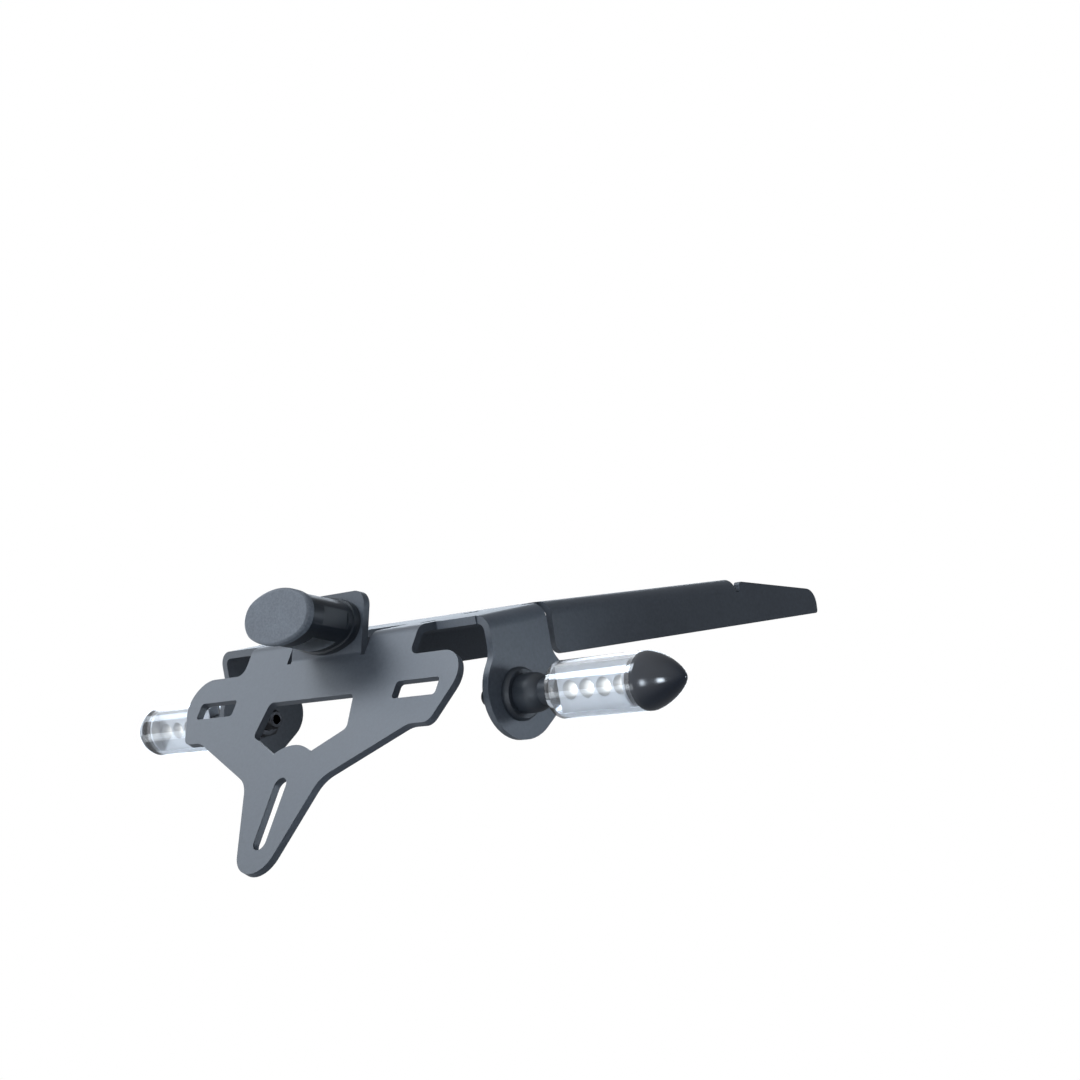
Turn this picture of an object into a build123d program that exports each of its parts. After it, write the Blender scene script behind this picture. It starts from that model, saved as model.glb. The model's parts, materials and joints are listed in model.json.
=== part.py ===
from build123d import *

import os
from math import asin, atan2, cos, degrees, hypot, radians, sin, tan

# Tail tidy of a motorbike: a folded sheet bracket that hangs under the tail and carries the
# number plate, a number-plate lamp and two indicators.
# Millimetres. X is to the right, Y forward along the bike, Z up. The origin is the middle of the
# four mounting holes, on the top face of the level plate.

# Sheet and folds
sheet = 3.0
bend_inner = 3.0
bend_outer = bend_inner + sheet

# Level plate
hole_spacing_x = 76.0
hole_spacing_y = 24.0
hole_diameter = 6.6
rear_setback = 22.0
level_length = 44.0
ear_margin = 2.5
plan_fillet = 5.0

# Channel that runs forward under the tail and droops a little
channel_droop = 3.6
channel_width = 136.0
web_length = 122.0
flange_gap = 3.0
flange_length = 181.0
flange_depth_rear = 21.0
flange_depth_front = 19.8
flange_corner = 5.0
flange_relief = 3.0
flange_tip_drop = 9.2
flange_tip_radius = 7.5
flange_tip_corner = 1.5
front_hole_spacing = 84.0
front_hole_setback = 16.0

# Wings that carry the indicators
wing_overhang = 10.8
wing_inset = 0.5
wing_neck = 31.0
wing_setback = 12.5
wing_drop = 29.9
wing_radius = 18.6
wing_toe_reach = 12.0
wing_toe_radius = 12.4
wing_flare = 10.0
indicator_setback = 10.2
indicator_drop = 31.3

# Number-plate carrier: places on its face are measured from the middle and down the slope
carrier_tilt = 37.5
carrier_overhang = 5.6
neck_width = 98.0
neck_relief = 3.5
neck_relief_depth = 4.0
neck_fillet = 4.0
shoulder_drop = 12.6
lobe_reach = 84.6
lobe_radius = 11.0
lobe_foot = 71.3
lobe_foot_radius = 4.5
lobe_drop = 42.0
web_start = 61.0
web_radius = 10.0
tail_root = 21.8
tail_root_drop = 61.6
tail_root_radius = 12.0
tail_tip = 7.8
tail_tip_radius = 11.0
carrier_height = 99.2
slot_spacing = 117.0
slot_length = 23.0
slot_height = 7.2
slot_corner = 1.5
slot_drop = 27.2
window_top = 24.6
window_top_drop = 26.8
window_side = 27.4
window_side_drop = 41.3
window_foot = 10.9
window_foot_drop = 50.0
window_corner = 2.5
window_bump = 3.4
low_slot_length = 29.5
low_slot_width = 7.0
low_slot_setback = 24.2

# Lamp tab, cut free of the level plate and folded up from the carrier
tab_width = 41.0
tab_slit = 2.5
tab_bend_drop = 8.8
tab_length = 24.6
tab_corner = 6.0
tab_window_depth = 14.0

# Number-plate lamp: its section is an oval of four arcs
lamp_tilt = 17.7
lamp_half_width = 19.3
lamp_half_height = 11.1
lamp_end_radius = 8.5
lamp_gasket_thickness = 1.0
lamp_flange = 2.2
lamp_length = 26.2
lamp_cap = 3.2
lamp_cap_edge = 0.9
lamp_step = 0.8
lamp_wall = 1.8
lamp_spigot = 3.0
lamp_spigot_wall = 1.4
lamp_screw_spacing = 24.0
lamp_screw_radius = 2.0
lamp_screw_grip = 9.0
lamp_screw_head_radius = 3.6
lamp_screw_head = 2.4
lamp_boss_wall = 1.6
lamp_cable_radius = 3.0
lamp_lens_width = 24.0
lamp_lens_length = 11.5
lamp_lens_setback = 2.4
lamp_panel_depth = 0.9
lamp_panel_height = 8.0
lamp_panel_length = 12.0
lamp_board = 1.2
lamp_led_side = 3.0
lamp_led_rise = 1.0
lamp_led_pitch = 8.0
lamp_led_count = 3

# Indicators, turned about their own axis, which points out from the wing
stud_radius = 4.0
stud_bore = 2.0
stud_reach = 17.0
stud_seat = 8.0
base_radius = 10.0
base_rim = 9.2
base_edge = 1.2
base_thickness = 3.0
stem_radius = 7.4
stem_barrel = 5.0
stem_dome = 5.0
stem_neck = 5.0
stem_length = 18.2
stem_tenon = 3.2
lens_radius = 10.6
lens_wall = 1.8
lens_end = 2.0
lens_length = 40.4
lens_edge = 0.8
reflector_front = -3.8
reflector_back = 1.2
reflector_wall = 1.0
cup_mouth = 3.4
cup_throat = 1.9
led_radius = 1.4
led_rise = 2.0
led_pitch = 7.9
led_count = 4
board_thickness = 1.2
nose_edge = 0.6
nose_band = 1.2
nose_shoulder = 2.0
nose_length = 17.0
nose_tip = 4.2
nose_spigot = 3.0
nut_flats = 13.0
nut_height = 6.5
nut_chamfer = 0.8
washer_radius = 7.6
washer_thickness = 1.6

# Clearances
fit_gap = 0.1
bolt_gap = 0.2
part_gap = 0.2

# Places worked out from the sizes above
rear_y = -rear_setback
kink_y = rear_y + level_length
channel_half = channel_width / 2
channel_flat = channel_width - 2 * bend_outer
wing_half = channel_half + wing_overhang
wing_rear_y = rear_y + wing_inset
indicator_y = rear_y + indicator_setback
wing_front_y = wing_rear_y + wing_neck
wing_middle_y = (wing_rear_y + wing_front_y) / 2
wing_head_y = rear_y + wing_setback
ear_front_y = wing_front_y + ear_margin
low_slot_drop = carrier_height - low_slot_setback
tab_half = tab_width / 2
tab_opening = tab_half + tab_slit
neck_half = neck_width / 2
flap_width = neck_half - tab_opening
flap_middle = (neck_half + tab_opening) / 2
neck_tangent = bend_outer * tan(radians(90 - carrier_tilt) / 2)
tab_half_turn = tan(radians(carrier_tilt - lamp_tilt) / 2)
tab_tangent = bend_outer * tab_half_turn
lamp_height = lamp_half_height + bend_inner * tab_half_turn + part_gap
lamp_body_end = lamp_length - lamp_cap
lens_start = base_thickness + stem_length
lens_finish = lens_start + lens_length
lens_inside = lens_radius - lens_wall

channel_plane = Plane(
    origin=(0, kink_y, 0),
    x_dir=(1, 0, 0),
    z_dir=(0, sin(radians(channel_droop)), cos(radians(channel_droop))),
)
carrier_plane = Plane(
    origin=(0, rear_y - carrier_overhang, 0),
    x_dir=(1, 0, 0),
    z_dir=(0, -cos(radians(carrier_tilt)), sin(radians(carrier_tilt))),
)
tab_plane = Plane(
    origin=carrier_plane.from_local_coords((0, -tab_bend_drop, 0)),
    x_dir=(1, 0, 0),
    z_dir=(0, -cos(radians(lamp_tilt)), sin(radians(lamp_tilt))),
)
lamp_plane = Plane(
    origin=tab_plane.from_local_coords((0, lamp_height, 0)),
    x_dir=(1, 0, 0),
    z_dir=tab_plane.z_dir,
)
lamp_axis = Axis(lamp_plane.origin, lamp_plane.z_dir)


def finish(builder, name):
    """Label a finished piece and write it."""
    builder.part.label = name
    export_step(builder.part, f"parts/{name}.step")


def side_point(plane, x, y):
    """Give a point of a tilted plane as (y, z) in the side view."""
    point = plane.from_local_coords((x, y, 0))
    return point.Y, point.Z


def outward_plane(side, origin, up=(0, 0, 1)):
    """Give a plane whose x axis points out on one side and whose y axis points up."""
    x_dir = Vector(side, 0, 0)
    return Plane(origin=origin, x_dir=x_dir, z_dir=x_dir.cross(Vector(up)))


def folded_strip(plane, points, radius, width, side):
    """Add a strip of sheet that follows a bent line and is as wide as stated."""
    with BuildSketch(plane) as section:
        with BuildLine():
            FilletPolyline(*points, radius=radius)
            offset(amount=sheet, side=side)
        make_face()
    extrude(section.sketch, amount=width / 2, both=True)


def closed_outline(corners):
    """Draw a closed outline from its corners, given as (x, y, corner radius)."""
    points = [(x, y) for x, y, radius in corners]
    with BuildLine() as outline:
        FilletPolyline(*points, radius=[radius for x, y, radius in corners], close=True)
    make_face(outline.edges())


def mirrored_outline(half):
    """Draw a closed outline from its right half, given as (x, y, corner radius)."""
    closed_outline(half + [(-x, y, radius) for x, y, radius in reversed(half)])


def oval(grow=0.0):
    """Draw the lamp's oval section, grown or shrunk all round."""
    half_width = lamp_half_width + grow
    half_height = lamp_half_height + grow
    end_radius = lamp_end_radius + grow
    end_x = half_width - end_radius
    top_radius = (end_x**2 + half_height**2 - end_radius**2) / (2 * (half_height - end_radius))
    reach = end_radius / (top_radius - end_radius)
    x = end_x + reach * end_x
    y = reach * (top_radius - half_height)
    with BuildLine() as outline:
        ThreePointArc((-x, y), (0, half_height), (x, y))
        ThreePointArc((x, y), (half_width, 0), (x, -y))
        ThreePointArc((x, -y), (0, -half_height), (-x, -y))
        ThreePointArc((-x, -y), (-half_width, 0), (-x, y))
    make_face(outline.edges())


def lamp_slice(start, end, grow, mode=Mode.ADD):
    """Add or cut a length of the lamp's oval, between two distances from the tab's face."""
    with BuildSketch(lamp_plane.offset(start)) as section:
        oval(grow)
    extrude(section.sketch, amount=end - start, mode=mode)


def lamp_pins(start, end, radius, mode=Mode.ADD):
    """Add or cut a round bar at each of the lamp's two screws."""
    with BuildSketch(lamp_plane.offset(start)) as section:
        with GridLocations(lamp_screw_spacing, 1, 2, 1):
            Circle(radius)
    extrude(section.sketch, amount=end - start, mode=mode)


def turned(plane, points, mode=Mode.ADD):
    """Turn a closed profile, given as (distance along, radius), about the plane's x axis."""
    with BuildSketch(plane) as profile:
        with BuildLine():
            Polyline(*points, close=True)
        make_face()
    revolve(profile.sketch, axis=Axis(plane.origin, plane.x_dir), mode=mode)


os.makedirs("parts", exist_ok=True)

# Main bracket: level plate, channel, wings, carrier and lamp tab, folded from one sheet
level_half = [
    (wing_half - bend_outer, rear_y, 0),
    (wing_half - bend_outer, ear_front_y, 0),
    (channel_flat / 2, ear_front_y, plan_fillet),
    (channel_flat / 2, kink_y, 0),
]
carrier_half = [
    (neck_half, -neck_tangent, 0),
    (neck_half, -shoulder_drop, neck_fillet),
    (lobe_reach, -shoulder_drop, lobe_radius),
    (lobe_foot, -lobe_drop, lobe_foot_radius),
    (web_start, -lobe_drop, web_radius),
    (tail_root, -tail_root_drop, tail_root_radius),
    (tail_tip, -carrier_height, tail_tip_radius),
]
window_half = [
    (window_top, -window_top_drop, window_corner),
    (window_side, -window_side_drop, window_corner),
    (window_foot, -window_foot_drop, 0),
]
bump_radius = (window_foot**2 + window_bump**2) / (2 * window_bump)
bump_centre = window_foot_drop - window_bump + bump_radius
tab_cut = tab_bend_drop + tab_tangent
flange_middle = (flange_gap + web_length) / 2
flange_outline = [
    (flange_gap, -bend_outer, 0),
    (web_length + flange_relief, -bend_outer, 0),
    (web_length + flange_relief, -flange_tip_corner, flange_tip_corner),
    (flange_length, -flange_tip_drop, flange_tip_radius),
    (flange_length, -flange_depth_front, flange_tip_corner),
    (flange_gap, -flange_depth_rear, flange_corner),
]

with BuildPart() as main_bracket:
    # Level plate with its ears, and the channel's web in line with it
    with BuildSketch(Plane.XY):
        mirrored_outline(level_half)
    extrude(amount=-sheet)
    web_line = [side_point(channel_plane, 0, web_length), (kink_y, 0), (kink_y - ear_margin, 0)]
    folded_strip(Plane.YZ, web_line, bend_outer, channel_flat, Side.LEFT)

    # Neck: a flap each side of the lamp tab folds down into the carrier
    neck_line = [
        (rear_y + neck_relief_depth, 0),
        side_point(carrier_plane, 0, 0),
        side_point(carrier_plane, 0, -neck_tangent - sheet),
    ]
    for side in (-1, 1):
        flap_plane = Plane.YZ.offset(side * flap_middle)
        folded_strip(flap_plane, neck_line, bend_outer, flap_width, Side.LEFT)

    # Carrier face with its screw slots and its window
    with BuildSketch(carrier_plane):
        mirrored_outline(carrier_half)
        with Locations((0, -slot_drop)):
            with GridLocations(slot_spacing, 1, 2, 1):
                RectangleRounded(slot_length, slot_height, slot_corner, mode=Mode.SUBTRACT)
        with Locations((0, -low_slot_drop)):
            SlotOverall(low_slot_length, low_slot_width, rotation=90, mode=Mode.SUBTRACT)
        with BuildSketch(mode=Mode.SUBTRACT):
            mirrored_outline(window_half)
            with Locations((0, -bump_centre)):
                Circle(bump_radius, mode=Mode.SUBTRACT)
        with Locations((0, -tab_cut / 2)):
            Rectangle(2 * tab_opening, tab_cut, mode=Mode.SUBTRACT)
    extrude(amount=-sheet)

    # Lamp tab, more upright than the carrier
    tab_line = [
        side_point(carrier_plane, 0, -tab_cut - sheet),
        side_point(carrier_plane, 0, -tab_bend_drop),
        side_point(tab_plane, 0, tab_length),
    ]
    folded_strip(Plane.YZ, tab_line, bend_inner, tab_width, Side.RIGHT)
    tab_edges = main_bracket.edges().filter_by(lamp_axis)
    fillet(tab_edges.sort_by(Axis.Z)[-2:], tab_corner)
    lamp_pins(-sheet, 0, lamp_screw_radius + bolt_gap, Mode.SUBTRACT)
    with BuildSketch(lamp_plane.offset(-sheet)):
        Circle(lamp_cable_radius)
    extrude(amount=sheet, mode=Mode.SUBTRACT)

    # Opening that the lamp tab leaves in the level plate, and a relief cut at each end of the neck
    with BuildSketch(Plane.XY):
        with Locations((0, rear_y + tab_window_depth / 2)):
            Rectangle(2 * tab_opening, tab_window_depth)
        with Locations((-neck_half - neck_relief / 2, rear_y), (neck_half + neck_relief / 2, rear_y)):
            SlotOverall(2 * neck_relief_depth, neck_relief, rotation=90)
    extrude(amount=-sheet, mode=Mode.SUBTRACT)

    # Mounting holes
    with BuildSketch(Plane.XY):
        with GridLocations(hole_spacing_x, hole_spacing_y, 2, 2):
            Circle(hole_diameter / 2)
    extrude(amount=-sheet, mode=Mode.SUBTRACT)
    with BuildSketch(channel_plane):
        with Locations((0, web_length - front_hole_setback)):
            with GridLocations(front_hole_spacing, 1, 2, 1):
                Circle(hole_diameter / 2)
    extrude(amount=-sheet, mode=Mode.SUBTRACT)

    for side in (-1, 1):
        # Wing, folded down at the ear, with a round head for the indicator and a toe forward of it
        wing_line = [
            (wing_half - bend_outer - sheet, 0),
            (wing_half, 0),
            (wing_half, -bend_outer - sheet),
        ]
        fold_plane = outward_plane(side, (0, wing_middle_y, 0))
        folded_strip(fold_plane, wing_line, bend_outer, wing_neck, Side.RIGHT)
        with BuildSketch(Plane.YZ.offset(side * wing_half)) as wing:
            with Locations((wing_head_y, -wing_drop)):
                Circle(wing_radius)
            with Locations((wing_head_y + wing_toe_reach, -wing_drop)):
                Circle(wing_toe_radius)
            make_hull()
            with Locations((wing_middle_y, -(bend_outer + wing_drop) / 2)):
                Rectangle(wing_neck, wing_drop - bend_outer)
            for edge_y in (wing_rear_y, wing_front_y):
                neck_corners = wing.vertices().filter_by_position(Axis.X, edge_y - fit_gap, edge_y + fit_gap)
                fillet(neck_corners.sort_by(Axis.Y)[0], wing_flare)
            with Locations((indicator_y, -indicator_drop)):
                Circle(stud_radius + bolt_gap, mode=Mode.SUBTRACT)
        extrude(amount=-side * sheet)

        # Side flange of the channel, tapering forward
        rim_point = channel_plane.from_local_coords((0, flange_middle, 0))
        rim_plane = outward_plane(side, rim_point, channel_plane.z_dir)
        rim_line = [
            (channel_half - bend_outer - sheet, 0),
            (channel_half, 0),
            (channel_half, -bend_outer - sheet),
        ]
        folded_strip(rim_plane, rim_line, bend_outer, web_length - flange_gap, Side.RIGHT)
        flange_plane = Plane(
            origin=(side * channel_half, kink_y, 0), x_dir=channel_plane.y_dir, z_dir=(1, 0, 0)
        )
        with BuildSketch(flange_plane):
            closed_outline(flange_outline)
        extrude(amount=-side * sheet)
finish(main_bracket, "main_bracket")

# Lamp gasket, between the tab and the lamp
with BuildPart() as lamp_gasket:
    lamp_slice(0, lamp_gasket_thickness, 0)
    lamp_pins(0, lamp_gasket_thickness, lamp_screw_radius + bolt_gap, Mode.SUBTRACT)
    with BuildSketch(lamp_plane):
        Circle(lamp_cable_radius)
    extrude(amount=lamp_gasket_thickness, mode=Mode.SUBTRACT)
finish(lamp_gasket, "lamp_gasket")

# Lamp housing: a moulded cup with a mounting flange, two screw bosses and an open underside
lamp_floor = lamp_gasket_thickness + lamp_flange
lamp_inside = -lamp_step - lamp_wall
lamp_boss_end = lamp_floor + lamp_screw_grip
lens_middle = lamp_floor + lamp_lens_setback + lamp_lens_length / 2
with BuildPart() as lamp_housing:
    lamp_slice(lamp_gasket_thickness, lamp_floor, 0)
    lamp_slice(lamp_floor, lamp_body_end, -lamp_step)
    lamp_slice(lamp_floor, lamp_body_end, lamp_inside, Mode.SUBTRACT)
    lamp_pins(lamp_floor, lamp_boss_end, lamp_screw_radius + lamp_boss_wall)
    lamp_pins(lamp_gasket_thickness, lamp_boss_end, lamp_screw_radius + fit_gap, Mode.SUBTRACT)
    with BuildSketch(lamp_plane.offset(lamp_gasket_thickness)):
        Circle(lamp_cable_radius)
    extrude(amount=lamp_flange, mode=Mode.SUBTRACT)
    with BuildSketch(lamp_plane.offset(lens_middle)):
        with Locations((0, -lamp_half_height)):
            Rectangle(lamp_lens_width, lamp_half_height)
    extrude(amount=lamp_lens_length / 2, both=True, mode=Mode.SUBTRACT)
    with BuildSketch(lamp_plane.offset(lens_middle)):
        with GridLocations(2 * (lamp_half_width - lamp_step), 1, 2, 1):
            Rectangle(2 * lamp_panel_depth, lamp_panel_height)
    extrude(amount=lamp_panel_length / 2, both=True, mode=Mode.SUBTRACT)
finish(lamp_housing, "lamp_housing")

# Lamp end cap, plugged into the housing's open end
lamp_plug = lamp_inside - fit_gap
with BuildPart() as lamp_end_cap:
    lamp_slice(lamp_body_end, lamp_length, 0)
    cap_face = lamp_end_cap.faces().sort_by(lamp_axis)[-1]
    chamfer(cap_face.edges(), lamp_cap_edge)
    lamp_slice(lamp_body_end - lamp_spigot, lamp_body_end, lamp_plug)
    lamp_slice(lamp_body_end - lamp_spigot, lamp_body_end, lamp_plug - lamp_spigot_wall, Mode.SUBTRACT)
finish(lamp_end_cap, "lamp_end_cap")

# Lamp lens, set in the opening under the housing
with BuildPart() as lamp_lens:
    lens_reach = lamp_lens_length / 2 - fit_gap
    lamp_slice(lens_middle - lens_reach, lens_middle + lens_reach, -lamp_step)
    lamp_slice(lens_middle - lens_reach, lens_middle + lens_reach, lamp_inside, Mode.SUBTRACT)
    with BuildSketch(lamp_plane.offset(lens_middle)):
        with Locations((0, -lamp_half_height)):
            Rectangle(lamp_lens_width - 2 * fit_gap, 2 * lamp_half_height)
    extrude(amount=lamp_lens_length, both=True, mode=Mode.INTERSECT)
finish(lamp_lens, "lamp_lens")

# Lamp circuit board, flat under the screw bosses, and its LEDs, facing down through the lens
board_top = -lamp_screw_radius - lamp_boss_wall - fit_gap
lamp_inside_end = lamp_end_radius + lamp_inside
lamp_board_end = (lamp_inside_end**2 - (board_top - lamp_board) ** 2) ** 0.5
lamp_board_half = lamp_half_width - lamp_end_radius + lamp_board_end - part_gap
with BuildPart() as lamp_led_board:
    with BuildSketch(lamp_plane.offset(lens_middle)):
        with Locations((0, board_top - lamp_board / 2)):
            Rectangle(2 * lamp_board_half, lamp_board)
    extrude(amount=lamp_lens_length / 2, both=True)
finish(lamp_led_board, "lamp_led_board")

with BuildPart() as lamp_leds:
    with BuildSketch(lamp_plane.offset(lens_middle)):
        with Locations((0, board_top - lamp_board - lamp_led_rise / 2)):
            with GridLocations(lamp_led_pitch, 1, lamp_led_count, 1):
                Rectangle(lamp_led_side, lamp_led_rise)
    extrude(amount=lamp_led_side / 2, both=True)
finish(lamp_leds, "lamp_leds")

# Lamp screws, driven from behind the tab into the housing's bosses
with BuildPart() as lamp_screws:
    lamp_pins(-sheet, lamp_boss_end, lamp_screw_radius)
    lamp_pins(-sheet - lamp_screw_head, -sheet, lamp_screw_head_radius)
    head_edges = lamp_screws.edges().sort_by(lamp_axis)[:2]
    fillet(head_edges, lamp_screw_head / 2)
finish(lamp_screws, "lamp_screws")


# Indicators: distances along an indicator are measured out from the wing's outer face
stem_start = base_thickness
stem_shoulder = stem_start + stem_barrel
stem_dome_end = stem_shoulder + stem_dome
stud_end = stem_start + stud_seat
reflector_start = lens_start + lens_end + part_gap
reflector_end = lens_finish - nose_spigot - part_gap
led_middle = (reflector_start + reflector_end) / 2
reflector_radius = lens_inside - part_gap
board_back = reflector_back + board_thickness
board_half = (reflector_radius**2 - board_back**2) ** 0.5
cup_depth = reflector_back - reflector_front
cup_taper = degrees(atan2(cup_mouth - cup_throat, cup_depth))
stud_hole = stud_radius + fit_gap
nut_start = -sheet - washer_thickness
nut_end = nut_start - nut_height
nut_corner = nut_flats / 2 / cos(radians(30))
nose_start = lens_finish + nose_band
nose_end = lens_finish + nose_length
nose_centre = nose_end - nose_tip
nose_run = nose_centre - nose_start
nose_slope = atan2(lens_radius, nose_run) - asin(nose_tip / hypot(lens_radius, nose_run))
nose_touch = (nose_centre + nose_tip * sin(nose_slope), nose_tip * cos(nose_slope))
nose_plug = lens_inside - fit_gap


def across(side, distance):
    """Give the plane across an indicator's axis at a distance out from the wing."""
    return Plane.YZ.offset(side * (wing_half + distance))


def facing_rear(y):
    """Give the upright plane that faces the rear at a distance forward of the indicators' axis."""
    return Plane.XZ.offset(-indicator_y - y)


def make_indicator(side, prefix):
    """Make one indicator's pieces, seated on its wing."""
    axis_plane = outward_plane(side, (side * wing_half, indicator_y, -indicator_drop))
    axis = Axis(axis_plane.origin, axis_plane.x_dir)
    axis_point = (indicator_y, -indicator_drop)
    led_point = (side * (wing_half + led_middle), -indicator_drop)

    # Threaded stud, hollow for the lead, with its washer and nut behind the wing
    with BuildPart() as stud:
        turned(axis_plane, [
            (-stud_reach, stud_bore),
            (-stud_reach, stud_radius),
            (stud_end, stud_radius),
            (stud_end, stud_bore),
        ])
    finish(stud, f"{prefix}_indicator_stud")

    with BuildPart() as washer:
        with BuildSketch(across(side, -sheet)):
            with Locations(axis_point):
                Circle(washer_radius)
                Circle(stud_hole, mode=Mode.SUBTRACT)
        extrude(amount=-side * washer_thickness)
    finish(washer, f"{prefix}_indicator_washer")

    with BuildPart() as nut:
        with BuildSketch(across(side, nut_start)):
            with Locations(axis_point):
                RegularPolygon(nut_flats / 2, 6, major_radius=False)
                Circle(stud_hole, mode=Mode.SUBTRACT)
        extrude(amount=-side * nut_height)
        turned(axis_plane, [
            (nut_start, 0),
            (nut_start, nut_corner),
            (nut_end + nut_chamfer, nut_corner),
            (nut_end, nut_corner - 2 * nut_chamfer),
            (nut_end, 0),
        ], Mode.INTERSECT)
    finish(nut, f"{prefix}_indicator_nut")

    # Base ring on the wing and domed stem that carries the light
    with BuildPart() as base:
        turned(axis_plane, [
            (0, stud_hole),
            (0, base_radius),
            (base_edge, base_radius),
            (base_thickness, base_rim),
            (base_thickness, stud_hole),
        ])
    finish(base, f"{prefix}_indicator_base")

    with BuildPart() as stem:
        with BuildSketch(axis_plane):
            with BuildLine():
                Polyline((stem_start, stud_hole), (stem_start, stem_radius), (stem_shoulder, stem_radius))
                TangentArc((stem_shoulder, stem_radius), (stem_dome_end, stem_neck), tangent=(1, 0))
                Polyline(
                    (stem_dome_end, stem_neck),
                    (lens_start, stem_neck),
                    (lens_start, stem_tenon),
                    (lens_start + lens_end, stem_tenon),
                    (lens_start + lens_end, 0),
                    (stud_end + part_gap, 0),
                    (stud_end + part_gap, stud_hole),
                    (stem_start, stud_hole),
                )
            make_face()
        revolve(axis=axis)
    finish(stem, f"{prefix}_indicator_stem")

    # Clear lens, a tube with one closed end
    with BuildPart() as lens:
        turned(axis_plane, [
            (lens_start, stem_tenon + fit_gap),
            (lens_start, lens_radius - lens_edge),
            (lens_start + lens_edge, lens_radius),
            (lens_finish, lens_radius),
            (lens_finish, lens_inside),
            (lens_start + lens_end, lens_inside),
            (lens_start + lens_end, stem_tenon + fit_gap),
        ])
    finish(lens, f"{prefix}_indicator_lens")

    # Reflector with a bright wall at its outer end and a row of cups that face the rear, the LED board
    # behind it and the LEDs in the cups
    with BuildPart() as reflector:
        with BuildSketch(across(side, reflector_start)):
            with Locations(axis_point):
                Circle(reflector_radius)
            with Locations((indicator_y + (reflector_front + reflector_back) / 2, -indicator_drop)):
                Rectangle(cup_depth, 2 * reflector_radius, mode=Mode.INTERSECT)
        extrude(amount=side * (reflector_end - reflector_start))
        with BuildSketch(across(side, reflector_end)):
            with Locations(axis_point):
                Circle(reflector_radius)
            with Locations((indicator_y + (reflector_back - reflector_radius) / 2, -indicator_drop)):
                Rectangle(reflector_back + reflector_radius, 2 * reflector_radius, mode=Mode.INTERSECT)
        extrude(amount=-side * reflector_wall)
        with BuildSketch(facing_rear(reflector_back)):
            with Locations(led_point):
                with GridLocations(led_pitch, 1, led_count, 1):
                    Circle(cup_throat)
        extrude(amount=cup_depth, taper=-cup_taper, mode=Mode.SUBTRACT)
    finish(reflector, f"{prefix}_indicator_reflector")

    with BuildPart() as board:
        with BuildSketch(across(side, reflector_start)):
            with Locations((indicator_y + reflector_back + board_thickness / 2, -indicator_drop)):
                Rectangle(board_thickness, 2 * board_half)
        extrude(amount=side * (reflector_end - reflector_start))
    finish(board, f"{prefix}_indicator_led_board")

    with BuildPart() as leds:
        with BuildSketch(facing_rear(reflector_back)):
            with Locations(led_point):
                with GridLocations(led_pitch, 1, led_count, 1):
                    Circle(led_radius)
        extrude(amount=led_rise)
        fillet(leds.edges().group_by(Axis.Y)[0], led_radius - fit_gap)
    finish(leds, f"{prefix}_indicator_leds")

    # Nose cap, plugged into the lens: a cone with a rounded shoulder and a rounded tip
    with BuildPart() as nose:
        with BuildSketch(axis_plane):
            with BuildLine():
                Polyline(
                    (lens_finish - nose_spigot, 0),
                    (lens_finish - nose_spigot, nose_plug),
                    (lens_finish, nose_plug),
                    (lens_finish, lens_radius - nose_edge),
                    (lens_finish + nose_edge, lens_radius),
                )
                FilletPolyline(
                    (lens_finish + nose_edge, lens_radius),
                    (nose_start, lens_radius),
                    nose_touch,
                    radius=nose_shoulder,
                )
                CenterArc((nose_centre, 0), nose_tip, 0, 90 - degrees(nose_slope))
                Line((nose_end, 0), (lens_finish - nose_spigot, 0))
            make_face()
        revolve(axis=axis)
    finish(nose, f"{prefix}_indicator_nose")


make_indicator(-1, "left")
make_indicator(1, "right")
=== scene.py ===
"""Looks of a tail tidy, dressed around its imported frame.

Sizes in the classes are in millimetres. They become metres only where a mesh, a light or the camera
is made, because the frame is in metres.
"""

import json
import logging
import math
from collections.abc import Iterable
from dataclasses import dataclass, field
from enum import Enum

import bpy
from mathutils import Matrix, Vector


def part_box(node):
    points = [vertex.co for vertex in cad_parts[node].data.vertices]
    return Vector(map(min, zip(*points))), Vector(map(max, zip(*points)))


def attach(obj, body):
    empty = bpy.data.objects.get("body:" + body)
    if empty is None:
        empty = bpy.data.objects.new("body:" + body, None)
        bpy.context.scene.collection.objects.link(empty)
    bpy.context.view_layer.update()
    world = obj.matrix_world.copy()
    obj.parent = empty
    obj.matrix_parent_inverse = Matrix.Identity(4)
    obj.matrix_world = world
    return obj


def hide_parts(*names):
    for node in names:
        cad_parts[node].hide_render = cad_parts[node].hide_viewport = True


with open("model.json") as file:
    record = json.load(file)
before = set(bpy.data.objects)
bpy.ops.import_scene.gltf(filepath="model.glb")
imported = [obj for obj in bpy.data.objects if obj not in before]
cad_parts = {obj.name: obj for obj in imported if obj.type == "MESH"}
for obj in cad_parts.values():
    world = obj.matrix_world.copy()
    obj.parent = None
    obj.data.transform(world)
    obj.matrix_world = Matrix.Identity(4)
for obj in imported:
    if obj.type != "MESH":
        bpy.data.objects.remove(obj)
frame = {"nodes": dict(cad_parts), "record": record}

MM = 0.001
BODY = "root"
# Turn that lays a primitive's own axis along X
ALONG_X = (0.0, math.pi / 2, 0.0)
# How far a normal has to point along X for its face to be an end of a turned piece
END_FACING = 0.9
# Noise stays near a half, so this middle part of it is stretched to reach both tints
NOISE_LOW = 0.3
NOISE_HIGH = 0.7

log = logging.getLogger("tail_tidy")


class Side(Enum):
    """Side that an indicator sits on, as its nodes' names have it."""

    LEFT = "left"
    RIGHT = "right"


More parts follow.
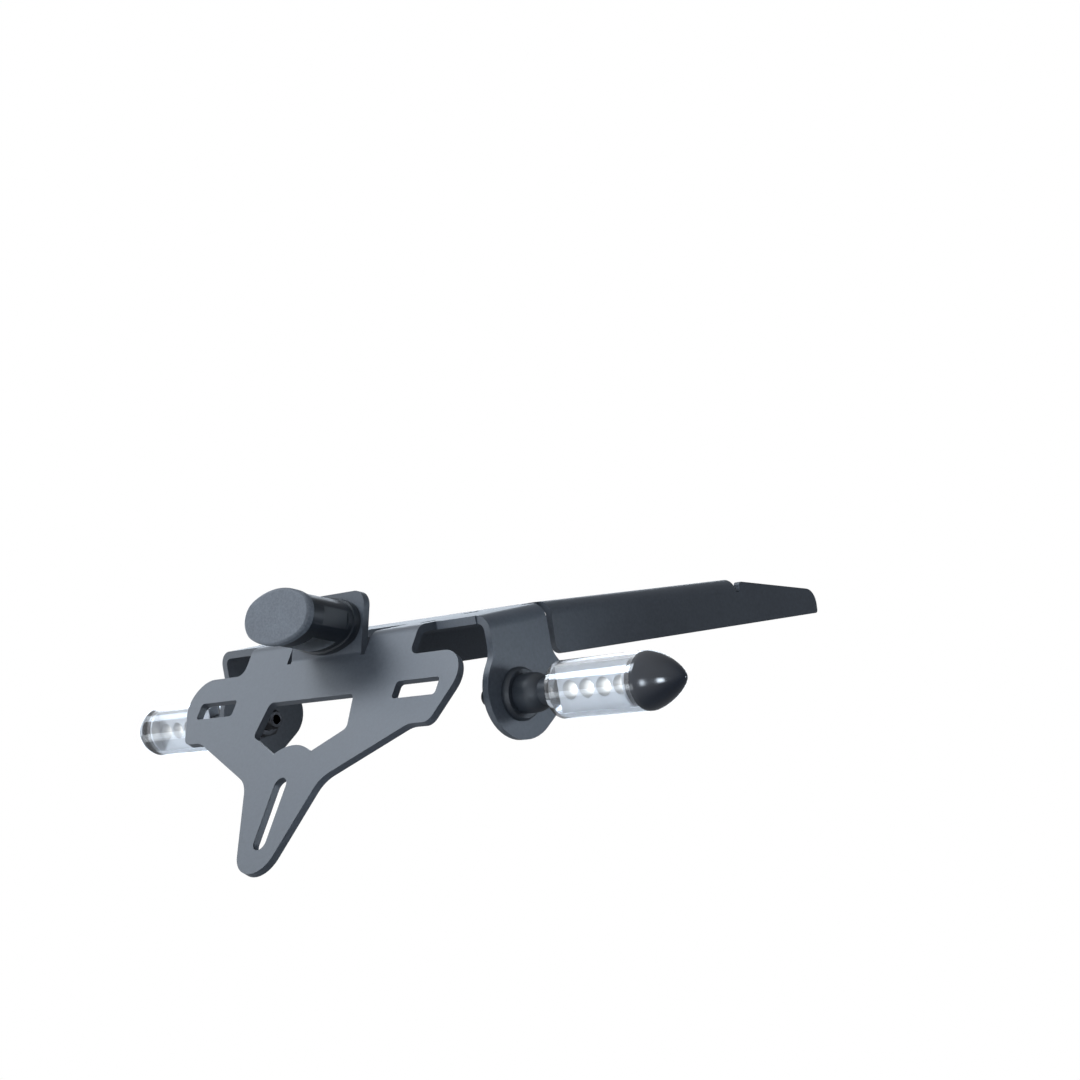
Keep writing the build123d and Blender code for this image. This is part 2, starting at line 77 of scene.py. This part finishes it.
def linear(hex_colour: str) -> tuple[float, float, float, float]:
    """Turn an sRGB hex colour into linear light.

    Args:
        hex_colour: Colour such as "7A8086".

    Returns:
        Linear red, green, blue and an alpha of one.
    """
    values = [int(hex_colour[i:i + 2], 16) / 255 for i in (0, 2, 4)]
    rgb = [v / 12.92 if v <= 0.04045 else ((v + 0.055) / 1.055) ** 2.4 for v in values]
    return (rgb[0], rgb[1], rgb[2], 1.0)


def add(
    tree: bpy.types.NodeTree,
    kind: str,
    inputs: dict[str | int, object] | None = None,
    **settings: object,
) -> bpy.types.Node:
    """Add a node with its settings and links.

    Args:
        tree: Node tree that takes the node.
        kind: Node type, such as "ShaderNodeTexNoise".
        inputs: Values, or output sockets to link, by the input's name or number.
        settings: Properties of the node itself.

    Returns:
        The new node.
    """
    node = tree.nodes.new(kind)
    for name, value in settings.items():
        setattr(node, name, value)
    for key, value in (inputs or {}).items():
        if isinstance(value, bpy.types.NodeSocket):
            tree.links.new(value, node.inputs[key])
        else:
            node.inputs[key].default_value = value
    return node


@dataclass(frozen=True)
class Finish:
    """A finish: the real material, how its surface was made and what that shows.

    Patches are slow changes of colour and gloss over the surface. Grain is its fine relief, which
    also tints the colour a little.
    """

    name: str
    colour: str
    shade: str
    roughness: float
    roughness_spread: float = 0.06
    metallic: float = 0.0
    ior: float = 1.5
    transmission: float = 0.0
    patch_mm: float = 20.0
    grain_mm: float = 0.6
    grain_height_mm: float = 0.01
    grain_strength: float = 0.3
    grain_tint: float = 0.3
    # Painted glow: emission that makes a part read bright as painted light, though it is not
    # switched on
    painted_glow: float = 0.0

    def material(self) -> bpy.types.Material:
        """Give the finish's material, made once."""
        return bpy.data.materials.get(self.name) or self.make()

    def make(self) -> bpy.types.Material:
        """Build the material's nodes.

        Returns:
            The new material.
        """
        material = bpy.data.materials.new(self.name)
        material.use_nodes = True
        tree = material.node_tree
        tree.nodes.clear()
        place = add(tree, "ShaderNodeTexCoord").outputs["Object"]
        patches = add(tree, "ShaderNodeTexNoise", {
            "Vector": place, "Scale": 1 / (self.patch_mm * MM), "Detail": 3.0, "Roughness": 0.5,
        })
        grain = add(tree, "ShaderNodeTexNoise", {
            "Vector": place, "Scale": 1 / (self.grain_mm * MM), "Detail": 2.0, "Roughness": 0.6,
        })
        blend = add(tree, "ShaderNodeMix", {
            "Factor": self.grain_tint, "A": patches.outputs["Fac"], "B": grain.outputs["Fac"],
        })
        spread = add(tree, "ShaderNodeMapRange", {
            "Value": blend.outputs["Result"], "From Min": NOISE_LOW, "From Max": NOISE_HIGH,
        })
        tint = add(tree, "ShaderNodeMixRGB", {
            "Fac": spread.outputs["Result"],
            "Color1": linear(self.shade),
            "Color2": linear(self.colour),
        })
        gloss = add(tree, "ShaderNodeMapRange", {
            "Value": spread.outputs["Result"],
            "To Min": self.roughness - self.roughness_spread,
            "To Max": self.roughness + self.roughness_spread,
        })
        relief = add(tree, "ShaderNodeBump", {
            "Height": grain.outputs["Fac"],
            "Strength": self.grain_strength,
            "Distance": self.grain_height_mm * MM,
        })
        surface = add(tree, "ShaderNodeBsdfPrincipled", {
            "Base Color": tint.outputs["Color"],
            "Roughness": gloss.outputs["Result"],
            "Metallic": self.metallic,
            "IOR": self.ior,
            "Transmission Weight": self.transmission,
            "Normal": relief.outputs["Normal"],
            # The emission is painted glow, not light of a lamp that is on
            "Emission Color": linear(self.colour),
            "Emission Strength": self.painted_glow,
        })
        add(tree, "ShaderNodeOutputMaterial", {"Surface": surface.outputs["BSDF"]})
        return material

    def dress(self, piece: bpy.types.Object) -> None:
        """Give a piece this finish all over."""
        piece.data.materials.clear()
        piece.data.materials.append(self.material())


# Satin black powder coat, baked on steel sheet: soft broad highlights over a faint orange peel
POWDER_COAT = Finish("satin_powder_coat", "434951", "33383F", 0.46, patch_mm=45.0, grain_mm=1.3,
                     grain_height_mm=0.03, grain_strength=0.35, grain_tint=0.6)
# Moulded black rubber: dull blue-black, a little dusty in patches
RUBBER = Finish("moulded_rubber", "1C232B", "12171D", 0.5, patch_mm=7.0, grain_mm=0.5,
                grain_height_mm=0.02)
# Black ABS, moulded smooth: low sheen with slight changes of gloss
ABS_BLACK = Finish("smooth_black_abs", "111A24", "0B1118", 0.46, patch_mm=14.0, grain_mm=0.7)
# Dark grey ABS from a spark-eroded mould: matt, with a fine even grain, drawn coarse enough to show
ABS_GRAINED = Finish("grained_grey_abs", "5C626A", "41464D", 0.6, patch_mm=12.0, grain_mm=1.0,
                     grain_height_mm=0.12, grain_strength=0.8, grain_tint=0.7)
# Clear polycarbonate, moulded glossy: bends light and shows what is inside it
CLEAR = Finish("clear_polycarbonate", "FAFBFD", "F4F6F9", 0.05, 0.03, ior=1.58, transmission=1.0,
               patch_mm=16.0, grain_mm=4.0, grain_height_mm=0.01, grain_strength=0.1)
# Stippled polycarbonate, tinted grey as painted shade for the lamp's shaded underside: spreads the
# light and hides the board behind it
STIPPLED = Finish("stippled_polycarbonate", "9AA0A7", "8A9097", 0.34, 0.05, ior=1.58,
                  transmission=1.0, patch_mm=9.0, grain_mm=0.8, grain_height_mm=0.03)
# Plastic with vapour-deposited aluminium over a fine mould grain: bright and satin, not a mirror
REFLECTOR = Finish("metallised_reflector", "D6D8DA", "C8CBCE", 0.5, metallic=1.0, patch_mm=6.0,
                   grain_mm=1.2)
# Glass-epoxy board under white solder mask: matt white
SOLDER_MASK = Finish("white_solder_mask", "E4E6E3", "D8DAD6", 0.5, patch_mm=5.0, grain_mm=0.4)
# Clear epoxy over the LED die: glossy and milky, with a painted glow, an emission that brightens its
# cup as painted light
LED_EPOXY = Finish("milky_led_epoxy", "FFFDF6", "F6F2E6", 0.2, patch_mm=3.0, grain_mm=0.8, painted_glow=2.0)
# Silicone over yellow phosphor, unlit: glossy and pale yellow
LED_PHOSPHOR = Finish("phosphor_led_silicone", "E6DFB8", "D6CC9C", 0.25, patch_mm=2.0, grain_mm=0.5)
# Polished black polycarbonate: deep blue-black under a mirror gloss
POLISHED_BLACK = Finish("polished_black_polycarbonate", "131A24", "0C1119", 0.14, 0.03, ior=1.58,
                        patch_mm=18.0, grain_mm=2.0, grain_height_mm=0.005, grain_strength=0.1)
# Black zinc plating on steel: dark, half-bright metal with a mottled sheen
BLACK_ZINC = Finish("black_zinc_plate", "4A4B4E", "38393C", 0.36, metallic=1.0, patch_mm=3.0,
                    grain_mm=0.4)

SLOT_FINISHES: dict[str, Finish] = {
    "bracket_powder_coat": POWDER_COAT,
    "rubber": RUBBER,
    "lamp_body_plastic": ABS_BLACK,
    "lamp_cap_plastic": ABS_GRAINED,
    "clear_plastic": CLEAR,
    "bright_reflector": REFLECTOR,
    "circuit_board": SOLDER_MASK,
    "led_resin": LED_EPOXY,
    "nose_gloss_plastic": POLISHED_BLACK,
    "zinc_steel": BLACK_ZINC,
}
# Nodes whose finish is not their slot's own; the lamp lens's grey tint is painted shade
NODE_FINISHES: dict[str, Finish] = {"lamp_leds": LED_PHOSPHOR, "lamp_lens": STIPPLED}
NODE_SLOTS: dict[str, str] = {
    part["node"]: part["material_slot"] for part in frame["record"]["subparts"]
}


def only(piece: bpy.types.Object) -> None:
    """Deselect everything, then select one piece and make it active.

    Args:
        piece: Piece that the next operators work on.
    """
    bpy.ops.object.select_all(action="DESELECT")
    piece.select_set(True)
    bpy.context.view_layer.objects.active = piece


def settle(piece: bpy.types.Object, name: str, node: str) -> None:
    """Name a finished piece, dress it, tie it to the frame and let it stand for a node.

    Args:
        piece: Finished mesh, with its place in its vertices.
        name: Name of the piece.
        node: Node that the piece stands for, whose slot gives the finish.
    """
    piece.name = name
    slot = NODE_SLOTS[node]
    SLOT_FINISHES[slot].dress(piece)
    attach(piece, BODY)
    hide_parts(node)
    log.info("piece %s: %d faces", name, len(piece.data.polygons))


def merged_copy(node: str, merge_mm: float = 0.002, flat_angle: float = 0.6) -> bpy.types.Object:
    """Copy a node's mesh as one closed skin, with whole faces where it is flat.

    Args:
        node: Node to copy.
        merge_mm: Distance under which two points are one.
        flat_angle: Angle in degrees under which two faces are one.

    Returns:
        The copy, as an object of its own.
    """
    piece = bpy.data.objects.new(node, frame["nodes"][node].data.copy())
    bpy.context.scene.collection.objects.link(piece)
    only(piece)
    bpy.ops.mesh.customdata_custom_splitnormals_clear()
    bpy.ops.object.mode_set(mode="EDIT")
    bpy.ops.mesh.select_all(action="SELECT")
    bpy.ops.mesh.remove_doubles(threshold=merge_mm * MM)
    bpy.ops.mesh.dissolve_limited(angle_limit=math.radians(flat_angle))
    bpy.ops.object.mode_set(mode="OBJECT")
    return piece


def round_edges(
    piece: bpy.types.Object, radius: float, segments: int = 3, angle: float = 35.0,
) -> None:
    """Round a piece's sharp edges, and shade it so that flat faces stay flat.

    Args:
        piece: Piece to round.
        radius: Size of the rounding.
        segments: Steps across the rounding.
        angle: Angle in degrees from which an edge counts as sharp.
    """
    only(piece)
    bpy.ops.object.shade_smooth()
    bevel = piece.modifiers.new("edge_rounding", "BEVEL")
    bevel.width = radius * MM
    bevel.segments = segments
    bevel.limit_method = "ANGLE"
    bevel.angle_limit = math.radians(angle)
    bpy.ops.object.modifier_apply(modifier=bevel.name)
    facing = piece.modifiers.new("flat_faces_stay_flat", "WEIGHTED_NORMAL")
    facing.mode = "FACE_AREA"
    facing.weight = 100
    bpy.ops.object.modifier_apply(modifier=facing.name)


@dataclass
class Bracket:
    """The folded sheet bracket, with the rounding that a powder coat leaves on cut edges."""

    node: str = "main_bracket"
    edge_radius: float = 0.4

    def build(self) -> None:
        """Build the sheet with its soft edges."""
        sheet = merged_copy(self.node)
        round_edges(sheet, self.edge_radius)
        settle(sheet, "bracket_sheet", self.node)


@dataclass
class Lamp:
    """The number-plate lamp: moulded shell, end cap and gasket, and two screws with sockets.

    Mouldings gives the rounding of each moulding's edges, by its node.
    """

    tilt: float = 17.7
    screws: str = "lamp_screws"
    screw_edge: float = 0.12
    screw_edge_segments: int = 2
    face_tolerance: float = 0.01
    socket_sides: int = 6
    socket_across: float = 3.0
    socket_depth: float = 1.5
    mouldings: dict[str, float] = field(default_factory=lambda: {
        "lamp_housing": 0.3, "lamp_end_cap": 0.35, "lamp_gasket": 0.2,
    })

    def build(self) -> None:
        """Build the mouldings with soft edges, then the screws."""
        for node, radius in self.mouldings.items():
            moulding = merged_copy(node)
            round_edges(moulding, radius)
            settle(moulding, f"{node}_moulding", node)
        self.build_screws()

    def build_screws(self) -> None:
        """Cut a hexagon socket into each screw head."""
        screws = merged_copy(self.screws)
        for centre in self.head_centres(screws):
            self.cut_socket(screws, centre)
        round_edges(screws, self.screw_edge, self.screw_edge_segments)
        settle(screws, "lamp_socket_screws", self.screws)

    def out_of_head(self) -> Vector:
        """Give the direction that the screw heads face."""
        lean = math.radians(self.tilt)
        return Vector((0, math.cos(lean), -math.sin(lean)))

    def head_centres(self, screws: bpy.types.Object) -> list[Vector]:
        """Find the middle of each screw head's outer face.

        Args:
            screws: Both screws, in one mesh.

        Returns:
            The two middles, in metres.
        """
        way = self.out_of_head()
        points = [point.co for point in screws.data.vertices]
        reach = max(point.dot(way) for point in points)
        depth = reach - self.face_tolerance * MM
        face = [point for point in points if point.dot(way) > depth]
        centres = []
        for rim in ([p for p in face if p.x < 0], [p for p in face if p.x > 0]):
            centres.append(Vector([(min(axis) + max(axis)) / 2 for axis in zip(*rim)]))
        return centres

    def cut_socket(self, screws: bpy.types.Object, centre: Vector) -> None:
        """Sink one hexagon socket.

        Args:
            screws: Screws that are cut.
            centre: Middle of the head's outer face, in metres.
        """
        bpy.ops.object.select_all(action="DESELECT")
        bpy.ops.mesh.primitive_cylinder_add(
            vertices=self.socket_sides,
            radius=self.socket_across / math.sqrt(3) * MM,
            depth=2 * self.socket_depth * MM,
            location=centre,
            rotation=(-math.radians(90 + self.tilt), 0, 0),
        )
        cutter = bpy.context.object
        only(screws)
        cut = screws.modifiers.new("socket", "BOOLEAN")
        cut.object = cutter
        cut.operation = "DIFFERENCE"
        bpy.ops.object.modifier_apply(modifier=cut.name)
        bpy.data.objects.remove(cutter)


@dataclass
class Indicators:
    """The pair of indicators: threaded studs, nose caps and rounded fittings on both wings.

    The nose cap's lengths are reaches from the lens: of its short drum, of the shoulder where its
    curve starts, of its tip, and of the point that the curve runs towards. Fittings gives the
    rounding of each fitting's edges.
    """

    pitch: float = 1.25
    thread_depth: float = 0.7
    thread_steps: int = 24
    thread_merge: float = 0.001
    thread_smooth_angle: float = 30.0
    bore: float = 2.0
    end_chamfer: float = 0.4
    stud_sides: int = 32
    nose_sides: int = 48
    nose_spigot: float = 3.0
    nose_plug: float = 8.6
    nose_smooth_angle: float = 40.0
    nose_radius: float = 10.6
    nose_drum: float = 0.6
    nose_shoulder: float = 1.3
    nose_reach: float = 17.0
    nose_point: float = 17.1
    nose_fullness: float = 1.33
    nose_bluntness: float = 0.7
    nose_rings: int = 13
    fittings: dict[str, float] = field(default_factory=lambda: {
        "base": 0.3, "nut": 0.25, "washer": 0.2,
    })

    def build(self) -> None:
        """Build the studs, the nose caps and the fittings of both sides."""
        studs = {Side.RIGHT: self.model_stud(Side.RIGHT)}
        noses = {Side.RIGHT: self.model_nose(Side.RIGHT)}
        for pieces in (studs, noses):
            pieces[Side.LEFT] = self.copy_across(pieces[Side.RIGHT])
        for side in Side:
            settle(studs[side], f"{side.value}_threaded_stud", self.node(side, "stud"))
            settle(noses[side], f"{side.value}_nose_cap", self.node(side, "nose"))
            for fitting, radius in self.fittings.items():
                node = self.node(side, fitting)
                piece = merged_copy(node)
                round_edges(piece, radius)
                settle(piece, f"{node}_rounded", node)

    @staticmethod
    def node(side: Side, part: str) -> str:
        """Give the name of one indicator's node."""
        return f"{side.value}_indicator_{part}"

    def stud_place(self, side: Side) -> tuple[Vector, Vector]:
        """Give a stud's lowest corner and its size, in metres."""
        low, high = (Vector(corner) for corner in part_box(self.node(side, "stud")))
        return low, high - low

    def model_stud(self, side: Side) -> bpy.types.Object:
        """Model a hollow stud with its thread.

        Args:
            side: Side whose stud is modelled.

        Returns:
            The stud, with its place in its mesh.
        """
        low, size = self.stud_place(side)
        middle = low + size / 2
        crest = size.z / 2
        stud = self.model_core(middle, size.x, crest - self.thread_depth * MM)
        thread = self.model_thread(middle, size.x, crest)
        only(stud)
        thread.select_set(True)
        bpy.ops.object.join()
        bpy.ops.object.shade_smooth_by_angle(angle=math.radians(self.thread_smooth_angle))
        return stud

    def model_core(self, middle: Vector, length: float, radius: float) -> bpy.types.Object:
        """Model the stud's hollow core, with a chamfer at each end.

        Args:
            middle: Middle of the stud, in metres.
            length: Length of the stud, in metres.
            radius: Radius at the root of the thread, in metres.

        Returns:
            The core.
        """
        bpy.ops.object.select_all(action="DESELECT")
        bpy.ops.mesh.primitive_cylinder_add(
            vertices=self.stud_sides, radius=radius, depth=length, location=middle, rotation=ALONG_X,
        )
        core = bpy.context.object
        bpy.ops.object.transform_apply(location=True, rotation=True, scale=True)
        bpy.ops.object.mode_set(mode="EDIT")
        bpy.ops.mesh.select_mode(type="FACE")
        bpy.ops.mesh.select_all(action="DESELECT")
        bpy.ops.object.mode_set(mode="OBJECT")
        for face in core.data.polygons:
            face.select = abs(face.normal.x) > END_FACING
        bpy.ops.object.mode_set(mode="EDIT")
        bpy.ops.mesh.inset(thickness=self.end_chamfer * MM, depth=0)
        bpy.ops.mesh.inset(thickness=radius - (self.bore + self.end_chamfer) * MM, depth=0)
        bpy.ops.mesh.bridge_edge_loops()
        bpy.ops.object.mode_set(mode="OBJECT")
        return core

    def model_thread(self, middle: Vector, length: float, crest: float) -> bpy.types.Object:
        """Model the thread as a ridge that winds round the core.

        Args:
            middle: Middle of the stud, in metres.
            length: Length of the stud, in metres.
            crest: Radius at the crest of the thread, in metres.

        Returns:
            The thread.
        """
        # One turn fewer than would fit, so that both ends stay plain
        turns = int(length / (self.pitch * MM)) - 1
        start = Vector((middle.x - turns * self.pitch * MM / 2, middle.y, middle.z))
        # A thread's section is a triangle of equal sides, one pitch wide, with its foot in the core
        section = self.pitch / math.sqrt(3) * MM
        bpy.ops.object.select_all(action="DESELECT")
        bpy.ops.mesh.primitive_circle_add(
            vertices=3, radius=section, fill_type="NGON", location=start,
        )
        thread = bpy.context.object
        bpy.ops.object.mode_set(mode="EDIT")
        bpy.ops.mesh.select_all(action="SELECT")
        bpy.ops.transform.translate(value=(0, crest - section, 0))
        bpy.ops.object.mode_set(mode="OBJECT")
        wind = thread.modifiers.new("winding", "SCREW")
        wind.axis = "X"
        wind.angle = math.tau
        wind.screw_offset = self.pitch * MM
        wind.iterations = turns
        wind.steps = self.thread_steps
        wind.render_steps = self.thread_steps
        bpy.ops.object.modifier_apply(modifier=wind.name)
        bpy.ops.object.transform_apply(location=True, rotation=True, scale=True)
        bpy.ops.object.mode_set(mode="EDIT")
        bpy.ops.mesh.select_all(action="SELECT")
        bpy.ops.mesh.remove_doubles(threshold=self.thread_merge * MM)
        bpy.ops.mesh.normals_make_consistent(inside=False)
        bpy.ops.object.mode_set(mode="OBJECT")
        return thread

    def nose_outline(self) -> list[tuple[float, float]]:
        """Work out the nose cap's rings, closest together at the shoulder and the tip.

        Returns:
            Each ring's reach from the lens and its radius.
        """
        rings = [(self.nose_drum, self.nose_radius)]
        for ring in range(self.nose_rings + 1):
            along = (1 - math.cos(math.pi * ring / self.nose_rings)) / 2
            reach = self.nose_shoulder + along * (self.nose_reach - self.nose_shoulder)
            share = (reach - self.nose_shoulder) / (self.nose_point - self.nose_shoulder)
            radius = self.nose_radius * (1 - share ** self.nose_fullness) ** self.nose_bluntness
            rings.append((reach, radius))
        return rings

    def model_nose(self, side: Side) -> bpy.types.Object:
        """Model a nose cap from a short drum, by setting in its ends ring by ring.

        Args:
            side: Side whose nose cap is modelled.

        Returns:
            The nose cap, with its place in its mesh.
        """
        low, high = (Vector(corner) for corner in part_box(self.node(side, "nose")))
        seat = Vector((low.x + self.nose_spigot * MM, (low.y + high.y) / 2, (low.z + high.z) / 2))
        outline = self.nose_outline()
        step, radius = outline[0]
        bpy.ops.object.select_all(action="DESELECT")
        bpy.ops.mesh.primitive_cylinder_add(
            vertices=self.nose_sides,
            radius=radius * MM,
            depth=step * MM,
            location=seat + Vector((step / 2 * MM, 0, 0)),
            rotation=ALONG_X,
        )
        nose = bpy.context.object
        bpy.ops.object.transform_apply(location=True, rotation=True, scale=True)
        self.pick_end(nose, 1)
        for last, ring in zip(outline, outline[1:]):
            bpy.ops.mesh.inset(thickness=(last[1] - ring[1]) * MM, depth=(ring[0] - last[0]) * MM)
        self.pick_end(nose, -1)
        bpy.ops.mesh.inset(thickness=(radius - self.nose_plug) * MM, depth=0)
        inwards = (-self.nose_spigot * MM, 0, 0)
        bpy.ops.mesh.extrude_region_move(TRANSFORM_OT_translate={"value": inwards})
        bpy.ops.object.mode_set(mode="OBJECT")
        bpy.ops.object.shade_smooth_by_angle(angle=math.radians(self.nose_smooth_angle))
        return nose

    @staticmethod
    def pick_end(piece: bpy.types.Object, way: int) -> None:
        """Go to edit mode with only a turned piece's end face selected.

        Args:
            piece: Piece that was turned about X.
            way: 1 for the end towards +X, or -1 for the one towards -X.
        """
        bpy.ops.object.mode_set(mode="EDIT")
        bpy.ops.mesh.select_mode(type="FACE")
        bpy.ops.mesh.select_all(action="DESELECT")
        bpy.ops.object.mode_set(mode="OBJECT")
        ends = [face for face in piece.data.polygons if face.normal.x * way > END_FACING]
        max(ends, key=lambda face: face.center.x * way).select = True
        bpy.ops.object.mode_set(mode="EDIT")

    def copy_across(self, piece: bpy.types.Object) -> bpy.types.Object:
        """Copy a right-hand piece to the left wing, by half a turn about the upright between them.

        Args:
            piece: Piece that is round about the indicators' axis.

        Returns:
            The left piece, with its own mesh.
        """
        low, size = self.stud_place(Side.RIGHT)
        only(piece)
        bpy.ops.object.duplicate(linked=False)
        twin = bpy.context.object
        twin.rotation_euler = (0, 0, math.pi)
        twin.location = (0, 2 * low.y + size.y, 0)
        bpy.ops.object.transform_apply(location=True, rotation=True, scale=False)
        return twin


@dataclass
class PhotoCamera:
    """The camera that the photograph was taken with, fitted to the bracket's corners."""

    azimuth: float = 42.271
    elevation: float = -0.009
    roll: float = -10.037
    place: tuple[float, float, float] = (570.5, -527.3, 23.1)
    focal_px: float = 1934.62
    frame_px: float = 1080.0
    sensor_mm: float = 36.0
    nearest: float = 10.0

    def build(self) -> None:
        """Make the camera and look through it."""
        turn, rise, roll = (math.radians(v) for v in (self.azimuth, self.elevation, self.roll))
        flat = math.cos(rise)
        back = Vector((math.sin(turn) * flat, -math.cos(turn) * flat, math.sin(rise)))
        level = Vector((math.cos(turn), math.sin(turn), 0))
        upright = back.cross(level)
        right = math.cos(roll) * level + math.sin(roll) * upright
        up = math.cos(roll) * upright - math.sin(roll) * level
        data = bpy.data.cameras.new("photo_camera")
        data.sensor_width = self.sensor_mm
        data.lens = self.focal_px / self.frame_px * self.sensor_mm
        data.clip_start = self.nearest * MM
        camera = bpy.data.objects.new("photo_camera", data)
        bpy.context.scene.collection.objects.link(camera)
        turned = Matrix((right, up, back)).transposed().to_4x4()
        camera.matrix_world = Matrix.Translation(Vector(self.place) * MM) @ turned
        bpy.context.scene.camera = camera


@dataclass
class Softbox:
    """A soft light, aimed at a point of the object.

    A spread under 180 degrees stands for a grid, which keeps the light near its aim.
    """

    name: str
    place: tuple[float, float, float]
    aim: tuple[float, float, float]
    size: tuple[float, float]
    power: float
    spread: float = 180.0
    tint: str = "E6F2FF"

    def build(self) -> None:
        """Make the light."""
        data = bpy.data.lights.new(self.name, "AREA")
        data.shape = "RECTANGLE"
        data.size, data.size_y = (v * MM for v in self.size)
        data.energy = self.power
        data.color = linear(self.tint)[:3]
        data.spread = math.radians(self.spread)
        light = bpy.data.objects.new(self.name, data)
        bpy.context.scene.collection.objects.link(light)
        place, aim = (Vector(v) * MM for v in (self.place, self.aim))
        turned = (place - aim).to_track_quat("Z", "Y").to_matrix().to_4x4()
        light.matrix_world = Matrix.Translation(place) @ turned


@dataclass
class Studio:
    """White studio: a pale floor, soft surroundings, brightest above the rear, and soft lights.

    The surroundings go from dim to bright between two cosines of the angle from their bright side.
    """

    floor_level: float = -280.0
    floor_half: float = 4000.0
    white: str = "FFFFFF"
    floor_bounce: str = "B4B8BC"
    sky: str = "F0F4F9"
    bright_from: tuple[float, float, float] = (-0.50, -0.70, 0.50)
    bright: float = 1.22
    dim: float = 0.25
    dim_below: float = -0.4
    bright_above: float = 0.9
    lights: list[Softbox] = field(default_factory=lambda: [
        Softbox("key_above_left", (-470, -365, 665), (-20, -50, -45), (340, 340), 3.8),
        Softbox("rim_left", (-1000, -150, 250), (0, -30, -20), (300, 700), 2.0),
        Softbox("front_left", (-1000, 650, 60), (-140, -10, -30), (1400, 800), 12.0),
        Softbox("low_left", (-660, -640, -190), (0, -50, -45), (1000, 300), 2.4, tint="E8F0F7"),
        Softbox("nose_rear", (200, -810, -30), (150, -10, -30), (100, 700), 0.09, spread=30.0),
        Softbox("nose_right", (487, -677, -30), (150, -10, -30), (110, 700), 0.17, spread=30.0),
        Softbox("side_right", (560, 200, -70), (85, -12, -40), (90, 90), 0.02, spread=16.0),
    ])

    def build(self) -> None:
        """Make the floor, the surroundings and the lights."""
        self.build_floor()
        self.build_surroundings()
        bpy.context.scene.view_settings.view_transform = "Standard"
        for light in self.lights:
            light.build()

    def build_floor(self) -> None:
        """Make a floor that shows white, gives back soft grey and lays no horizon on gloss."""
        bpy.ops.object.select_all(action="DESELECT")
        bpy.ops.mesh.primitive_plane_add(
            size=2 * self.floor_half * MM, location=(0, 0, self.floor_level * MM),
        )
        floor = bpy.context.object
        floor.name = "studio_floor"
        paper = bpy.data.materials.new("white_paper")
        paper.use_nodes = True
        tree = paper.node_tree
        tree.nodes.clear()
        seen = add(tree, "ShaderNodeEmission", {"Color": linear(self.white)})
        bounce = add(tree, "ShaderNodeBsdfDiffuse", {"Color": linear(self.floor_bounce)})
        self.show_white(tree, bounce.outputs[0], seen.outputs[0], "ShaderNodeOutputMaterial")
        floor.data.materials.append(paper)
        floor.visible_glossy = False

    def build_surroundings(self) -> None:
        """Make surroundings that are bright above the rear and dim in front."""
        world = bpy.data.worlds.new("studio")
        world.use_nodes = True
        tree = world.node_tree
        tree.nodes.clear()
        way = add(tree, "ShaderNodeTexCoord").outputs["Generated"]
        facing = add(tree, "ShaderNodeVectorMath", {
            0: way, 1: Vector(self.bright_from).normalized(),
        }, operation="DOT_PRODUCT")
        level = add(tree, "ShaderNodeMapRange", {
            "Value": facing.outputs["Value"],
            "From Min": self.dim_below,
            "From Max": self.bright_above,
            "To Min": self.dim,
            "To Max": self.bright,
        }, interpolation_type="SMOOTHSTEP")
        soft = add(tree, "ShaderNodeBackground", {
            "Color": linear(self.sky), "Strength": level.outputs["Result"],
        })
        seen = add(tree, "ShaderNodeBackground", {"Color": linear(self.white)})
        self.show_white(tree, soft.outputs[0], seen.outputs[0], "ShaderNodeOutputWorld")
        bpy.context.scene.world = world

    @staticmethod
    def show_white(
        tree: bpy.types.NodeTree,
        light: bpy.types.NodeSocket,
        seen: bpy.types.NodeSocket,
        output: str,
    ) -> None:
        """Let plain white show, while the object is lit by something softer.

        Args:
            tree: Node tree to end.
            light: Shader that lights the object.
            seen: Shader that shows in the picture.
            output: Type of the output node.
        """
        path = add(tree, "ShaderNodeLightPath")
        both = add(tree, "ShaderNodeMixShader", {
            0: path.outputs["Is Camera Ray"], 1: light, 2: seen,
        })
        add(tree, output, {"Surface": both.outputs[0]})


def dress_nodes() -> None:
    """Give every CAD node the finish of its own or of its slot."""
    for name, node in frame["nodes"].items():
        finish = NODE_FINISHES.get(name, SLOT_FINISHES[NODE_SLOTS[name]])
        finish.dress(node)
        log.info("node %s: %s", name, finish.name)


def main() -> None:
    """Build every piece."""
    logging.basicConfig(level=logging.INFO, format="%(message)s")
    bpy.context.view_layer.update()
    PhotoCamera().build()
    Studio().build()
    dress_nodes()
    Bracket().build()
    Lamp().build()
    Indicators().build()


if __name__ == "__main__":
    main()
